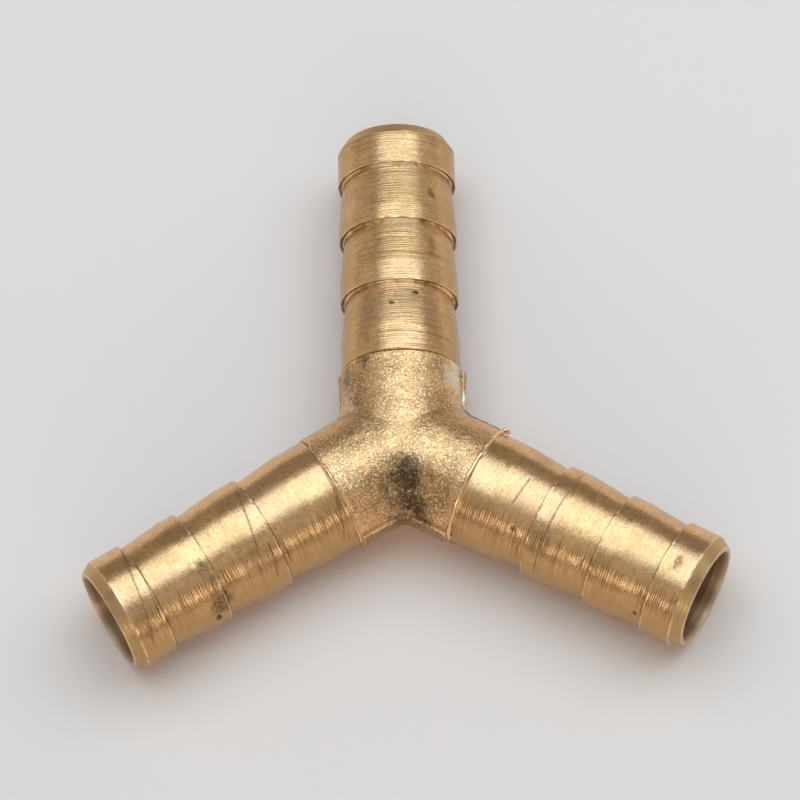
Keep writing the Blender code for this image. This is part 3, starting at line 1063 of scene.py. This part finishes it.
def remap(tree, value, low, high, to_low, to_high):
    """Move a value from one range to another and keep it inside."""
    node = add_node(tree, "MapRange", From_Min=low, From_Max=high, To_Min=to_low, To_Max=to_high)
    tree.links.new(value, node.inputs["Value"])
    return node.outputs["Result"]


def mix_colour(tree, share, first, second):
    """Mix two colours. Each is a colour or the output of another node."""
    node = tree.nodes.new("ShaderNodeMix")
    node.data_type = "RGBA"
    for socket, value in ((node.inputs["Factor"], share), (node.inputs[6], first),
                          (node.inputs[7], second)):
        if isinstance(value, bpy.types.NodeSocket):
            tree.links.new(value, socket)
        else:
            socket.default_value = value
    return node.outputs[2]


def painted(tree, mark):
    """A mark that was stored on the points of the mesh."""
    node = tree.nodes.new("ShaderNodeAttribute")
    node.attribute_name = mark
    return node.outputs["Fac"]


def arithmetic(tree, operation, first, second):
    """Join two values or outputs with one operation."""
    node = tree.nodes.new("ShaderNodeMath")
    node.operation = operation
    for socket, value in zip(node.inputs, (first, second)):
        if isinstance(value, bpy.types.NodeSocket):
            tree.links.new(value, socket)
        else:
            socket.default_value = value
    return node.outputs["Value"]


def layered(tree, colour, layers):
    """Lay colours over a first one. Each layer is how much of it shows, and its colour."""
    for share, over in layers:
        colour = mix_colour(tree, share, colour, over)
    return colour


def bump(tree, height, distance, under=None):
    """A bump node of a given depth in metres, laid on another bump if there is one under it."""
    node = add_node(tree, "Bump", Strength=1.0, Distance=distance)
    tree.links.new(height, node.inputs["Height"])
    if under is not None:
        tree.links.new(under.outputs["Normal"], node.inputs["Normal"])
    return node


def bare_metal(name):
    """A new fully metallic material, with its node tree and its shader."""
    material = bpy.data.materials.new(name)
    material.use_nodes = True
    shader = material.node_tree.nodes["Principled BSDF"]
    shader.inputs["Metallic"].default_value = 1.0
    return material, material.node_tree, shader


print("node helpers ready")

# %% [markdown]
# ## Rings in the turned brass
#
# The finest rings are closer together than the points of the mesh, so they are made in the
# material. A sine of the height gives even rings. Noise that is stretched round the axis makes
# their pitch wander and makes some bolder than others, as a real feed does.

# %% Rings that the feed of the tool leaves
FEED_PITCH = 0.23 * MM


def feed_marks(tree, pitch):
    """Rings round the local Z axis, minus one to one, with a pitch that wanders a little."""
    place = tree.nodes.new("ShaderNodeTexCoord")
    split = tree.nodes.new("ShaderNodeSeparateXYZ")
    tree.links.new(place.outputs["Object"], split.inputs["Vector"])
    steady = arithmetic(tree, "MULTIPLY", split.outputs["Z"], 2.0 * math.pi / pitch)
    wander = noise(tree, 1.0, (110.0, 110.0, 1400.0), 3.0, 0.6)
    drift = arithmetic(tree, "MULTIPLY", wander, 16.0)
    wave = arithmetic(tree, "SINE", arithmetic(tree, "ADD", steady, drift), 0.0)
    each = noise(tree, 1.0, (160.0, 160.0, 3600.0), 2.0, 0.6)
    return arithmetic(tree, "MULTIPLY", wave, remap(tree, each, 0.36, 0.62, 0.15, 1.3))


print("feed pitch, mm:", round(FEED_PITCH / MM, 2))

# %% [markdown]
# ## Turned brass
#
# The colour is built in layers, from broad blotches to small specks: clean brass, an olive and a
# rose tint, painted shade down the sides, dull lines where the rings lie (partly painted shade on
# the front flanks), brown in the bore, dark stains, painted shade at the steps, and last painted
# highlights on the edges. Three small bumps follow the same noises, so a dark line is also a
# groove. The roughness runs in streaks of its own.

# %% Colours of turned brass
BRASS = (0.92, 0.54, 0.24, 1.0)
BRASS_OLIVE = (0.50, 0.305, 0.12, 1.0)
BRASS_ROSE = (0.86, 0.50, 0.30, 1.0)
BRASS_DULL = (0.55, 0.28, 0.11, 1.0)
BRASS_DARK = (0.10, 0.062, 0.034, 1.0)
# Colour of the painted highlights.
BRASS_HIGHLIGHT = (1.0, 0.78, 0.48, 1.0)
BORE_BROWN = (0.34, 0.19, 0.105, 1.0)


def share_of(tree, mark, most):
    """A painted mark, scaled so that a full mark gives the most."""
    return remap(tree, painted(tree, mark), 0.0, 1.0, 0.0, most)


def turned_colour(tree, rings, rough_cut, mottle):
    """The layers of colour, broad ones first."""
    blotches = noise(tree, 520.0, detail=5.0, roughness=0.66)
    rose = noise(tree, 330.0, detail=4.0, roughness=0.6)
    hairs = noise(tree, 1.0, (60.0, 60.0, 9000.0), 2.0, 0.6)
    specks = noise(tree, 4200.0, detail=3.0, roughness=0.6)
    # The dull ring lines carry painted shade on the front flank of the side tails.
    lines = arithmetic(tree, "MULTIPLY", remap(tree, rings, -0.2, 1.0, 0.0, 0.55), rough_cut)
    hair_lines = arithmetic(tree, "MULTIPLY", remap(tree, hairs, 0.57, 0.68, 0.0, 0.8),
                            painted(tree, "ring_and_flank_shade"))
    broken_stain = arithmetic(tree, "MULTIPLY", painted(tree, "stain"),
                              remap(tree, specks, 0.36, 0.56, 0.35, 1.15))
    layers = [
        (remap(tree, blotches, 0.42, 0.68, 0.0, 0.6), BRASS_OLIVE),
        (remap(tree, rose, 0.46, 0.62, 0.0, 0.45), BRASS_ROSE),
        (remap(tree, mottle, 0.50, 0.64, 0.0, 0.75), BRASS_OLIVE),
        # Painted shade down the sides.
        (share_of(tree, "under", 0.8), BRASS_OLIVE),
        (lines, BRASS_DULL),
        (hair_lines, BRASS_DULL),
        (share_of(tree, "tip", 0.5), BRASS_OLIVE),
        (painted(tree, "inside"), BORE_BROWN),
        (broken_stain, BRASS_DARK),
        # Painted shade at the steps.
        (share_of(tree, "step_shade", 0.85), BRASS_DARK),
        # Painted highlights on the edges and the burrs.
        (painted(tree, "edge_highlight"), BRASS_HIGHLIGHT),
    ]
    return layered(tree, BRASS, layers)


print("clean brass", BRASS[:3], "and the darkest", BRASS_DARK[:3])

# %% Roughness and bumps of turned brass
FEED_BUMP = 0.000005
GROUP_BUMP = 0.000026
MOTTLE_BUMP = 0.000018


def turned_roughness(tree):
    """Fairly smooth, in streaks, and rougher where it is stained, cut coarsely, inside or on the tip."""
    streaks = noise(tree, 1.0, (900.0, 900.0, 2500.0), 3.0, 0.6)
    rough = remap(tree, streaks, 0.3, 0.7, 0.18, 0.30)
    for mark, extra in (("stain", 0.3), ("rising", 0.03), ("inside", 0.25), ("tip", 0.14)):
        rough = arithmetic(tree, "ADD", rough, share_of(tree, mark, extra))
    return rough


def turned_bumps(tree, rings, rough_cut, mottle):
    """Three bumps, one on another: the feed, groups of bolder rings, and the mottled skin."""
    feed = bump(tree, arithmetic(tree, "MULTIPLY", rings, rough_cut), FEED_BUMP)
    feed.invert = True
    ridges = noise(tree, 1.0, (170.0, 170.0, 2300.0), 3.0, 0.6)
    grouped = arithmetic(tree, "MULTIPLY", ridges, painted(tree, "ring_and_flank_shade"))
    group = bump(tree, grouped, GROUP_BUMP, feed)
    return bump(tree, mottle, MOTTLE_BUMP, group).outputs["Normal"]


print("bumps, micrometres:", [round(size * 1e6, 1) for size in (FEED_BUMP, GROUP_BUMP, MOTTLE_BUMP)])

# %% The turned finish
def turned_brass():
    """Bright brass with fine rings round the axis of the piece."""
    material, tree, shader = bare_metal("turned_brass")
    shader.inputs["Anisotropic"].default_value = 0.65
    shader.inputs["Anisotropic Rotation"].default_value = 0.25
    tangent = tree.nodes.new("ShaderNodeTangent")
    tangent.direction_type = "RADIAL"
    tangent.axis = "Z"
    tree.links.new(tangent.outputs["Tangent"], shader.inputs["Tangent"])

    rings = feed_marks(tree, FEED_PITCH)
    patches = noise(tree, 260.0, (1.0, 1.0, 2.0), 4.0, 0.65)
    mottle = noise(tree, 3400.0, (1.0, 1.0, 1.5), 4.0, 0.72)
    rough_cut = arithmetic(tree, "ADD", remap(tree, patches, 0.42, 0.60, 0.2, 1.1),
                           share_of(tree, "rising", 0.2))
    # The ring strength carries painted shade on the front flank of the side tails.
    rough_cut = arithmetic(tree, "MULTIPLY", rough_cut, painted(tree, "ring_and_flank_shade"))
    tree.links.new(turned_colour(tree, rings, rough_cut, mottle), shader.inputs["Base Color"])
    tree.links.new(turned_roughness(tree), shader.inputs["Roughness"])
    tree.links.new(turned_bumps(tree, rings, rough_cut, mottle), shader.inputs["Normal"])
    return material


turned_finish = turned_brass()
for piece in (*tails.values(), *burrs):
    piece.data.materials.append(turned_finish)
print("turned brass on", len(tails), "tails and", len(burrs), "burrs")

# %% [markdown]
# ## Forged brass
#
# The hub was never turned. Its skin is the blasted skin of the forging: duller, with fine grit
# and painted glints, a brown bloom, painted shade in the hollows, a darker flash, a pale scrape and
# dark stains. It has no rings, so it needs no anisotropy, and its bumps are deeper than those of
# the tails.

# %% Forged brass
FORGED = (0.88, 0.475, 0.21, 1.0)
FORGED_BROWN = (0.36, 0.205, 0.085, 1.0)
FORGED_PALE = (0.88, 0.76, 0.56, 1.0)
# Colour of the painted glints.
FORGED_GLINT = (1.0, 0.72, 0.38, 1.0)
SPECKLE_BUMP = 0.00004
GRIT_BUMP = 0.00005


def forged_colour(tree, grit):
    """The layers of colour, broad ones first."""
    bloom = noise(tree, 380.0, detail=5.0, roughness=0.62)
    glint_flecks = noise(tree, 5200.0, detail=2.0, roughness=0.6)
    broken_stain = arithmetic(tree, "MULTIPLY", painted(tree, "stain"),
                              remap(tree, grit, 0.36, 0.54, 0.3, 1.2))
    layers = [
        (remap(tree, bloom, 0.42, 0.7, 0.0, 0.7), FORGED_BROWN),
        (remap(tree, grit, 0.50, 0.64, 0.0, 0.8), FORGED_BROWN),
        # Painted shade in the hollows and creases of the hub.
        (remap(tree, painted(tree, "hollow_shade"), 0.0, 0.8, 0.0, 0.95), FORGED_BROWN),
        # Bright flecks painted as glints.
        (remap(tree, glint_flecks, 0.54, 0.64, 0.0, 1.0), FORGED_GLINT),
        (share_of(tree, "flash", 0.75), FORGED_BROWN),
        (painted(tree, "pale"), FORGED_PALE),
        (broken_stain, BRASS_DARK),
    ]
    return layered(tree, FORGED, layers)


def forged_brass():
    """Dull blasted brass with browner blotches, painted shade in the hollows, painted glints, dark stains
    and a pale rough patch.
    """
    material, tree, shader = bare_metal("forged_brass")
    grit = noise(tree, 4200.0, detail=3.0, roughness=0.7)
    pits = noise(tree, 1500.0, detail=4.0, roughness=0.65)
    speckle = noise(tree, 7500.0, detail=2.0, roughness=0.6)
    rough = arithmetic(tree, "ADD", remap(tree, pits, 0.3, 0.7, 0.15, 0.27),
                       share_of(tree, "stain", 0.25))
    skin = bump(tree, grit, GRIT_BUMP, bump(tree, speckle, SPECKLE_BUMP))
    tree.links.new(forged_colour(tree, grit), shader.inputs["Base Color"])
    tree.links.new(rough, shader.inputs["Roughness"])
    tree.links.new(skin.outputs["Normal"], shader.inputs["Normal"])
    return material


hub.data.materials.append(forged_brass())
print("forged brass on the hub")

# %% [markdown]
# ## Joining the pieces to the part
#
# The fitting is one rigid body, so each piece rides on it. The hub and the tails each stand for
# their own CAD node. The two burrs stand for none, because the CAD part has no burrs.

# %% Ride and replace
for side, tail in tails.items():
    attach(tail, "root")
    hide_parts("tail_" + side)
for burr in burrs:
    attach(burr, "root")
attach(hub, "root")
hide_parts("y_hub")
